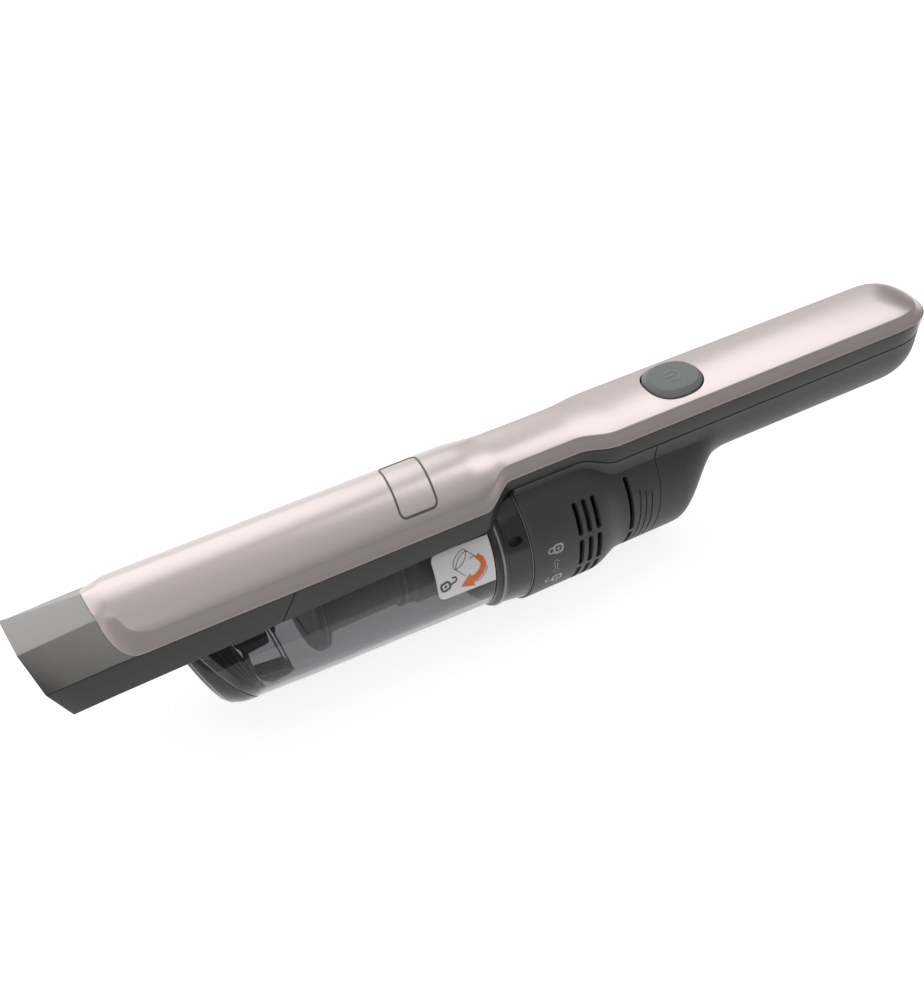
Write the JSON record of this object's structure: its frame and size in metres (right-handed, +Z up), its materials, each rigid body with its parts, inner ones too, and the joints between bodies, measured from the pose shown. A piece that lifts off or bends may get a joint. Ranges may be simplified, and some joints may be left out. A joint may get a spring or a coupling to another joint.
{
  "type": "cordless handheld vacuum",
  "caption": "Slim bar-shaped cordless handheld vacuum with slanted nozzle, clear slide-off dust bowl, turning lock ring, vented motor housing and thumb button on a rounded handle.",
  "frame": {"origin": "centre of the bounding box in plan, at the flat that the vacuum rests on", "axes": "+X along the body from the nozzle mouth to the handle end, +Z up through the cover, +Y across"},
  "size_m": [0.4299, 0.065, 0.0787],
  "materials": {
    "rose_cover": "satin metallic rose-gold paint on moulded plastic",
    "badge": "plain dark grey plate, no marking",
    "dark_body": "satin dark grey moulded plastic",
    "charcoal_body": "fine matte charcoal moulded plastic",
    "gloss_trim": "polished near-black plastic",
    "smoke_clear": "smoke-tinted clear polycarbonate",
    "label": "printed white label",
    "filter_frame": "grey moulded plastic",
    "filter_media": "pleated filter fleece",
    "soft_rubber": "soft black rubber",
    "steel": "plain steel",
    "motor_steel": "drawn steel can",
    "board": "green circuit board laminate",
    "connector": "black moulded plastic",
    "cell_sleeve": "shrink sleeve on a lithium cell",
    "nickel": "thin bright metal strip",
    "wire": "red insulated wire"
  },
  "bodies": {
    "main": {"top_cover": "rose_cover", "badge": "badge", "nozzle": "dark_body", "frame": "dark_body", "motor_housing": "charcoal_body", "grip": "charcoal_body", "duct_seal": "soft_rubber", "intake_guard": "charcoal_body", "fan_cover": "charcoal_body", "motor_can": "motor_steel", "motor_mount": "soft_rubber", "control_board": "board", "tact_switch": "connector", "cell_1": "cell_sleeve", "cell_2": "cell_sleeve", "cell_3": "cell_sleeve", "cell_link": "nickel", "charge_socket": "connector", "motor_wire_1": "wire", "motor_wire_2": "wire", "screw_1": "steel", "screw_2": "steel"},
    "bowl": {"dust_bowl": "smoke_clear", "bowl_front_cap": "gloss_trim", "ribbed_baffle": "gloss_trim", "inlet_duct": "smoke_clear", "bowl_label": "label"},
    "flap": {"inlet_flap": "soft_rubber"},
    "ring": {"lock_ring": "gloss_trim"},
    "filter": {"filter_shroud": "filter_frame", "filter_core": "filter_media", "filter_seal": "soft_rubber"},
    "rotor": {"impeller": "filter_frame", "motor_shaft": "steel"},
    "button": {"power_button": "charcoal_body", "button_spring": "steel"}
  },
  "joints": [
    {"name": "button_press", "type": "slide", "parent": "main", "child": "button", "axis": [0, 0, -1], "range_m": [0, 0.0012], "stiffness_N_per_m": 900, "springref_m": -0.0004},
    {"name": "ring_turn", "type": "hinge", "parent": "main", "child": "ring", "pos_m": [-0.0287, 0, 0.0315], "axis": [1, 0, 0], "range_deg": [0, 25]},
    {"name": "bowl_slide", "type": "slide", "parent": "main", "child": "bowl", "axis": [-0.9993, 0, -0.0384], "range_m": [0, 0.11]},
    {"name": "flap_swing", "type": "hinge", "parent": "bowl", "child": "flap", "pos_m": [-0.1206, 0, 0.0475], "axis": [0, -1, 0], "range_deg": [0, 50], "stiffness_Nm_per_rad": 0.002},
    {"name": "filter_turn", "type": "hinge", "parent": "main", "child": "filter", "pos_m": [-0.026, 0, 0.0315], "axis": [1, 0, 0], "range_deg": [0, 25]},
    {"name": "fan_spin", "type": "hinge", "parent": "main", "child": "rotor", "pos_m": [-0.001, 0, 0.0315], "axis": [1, 0, 0], "continuous": true}
  ]
}
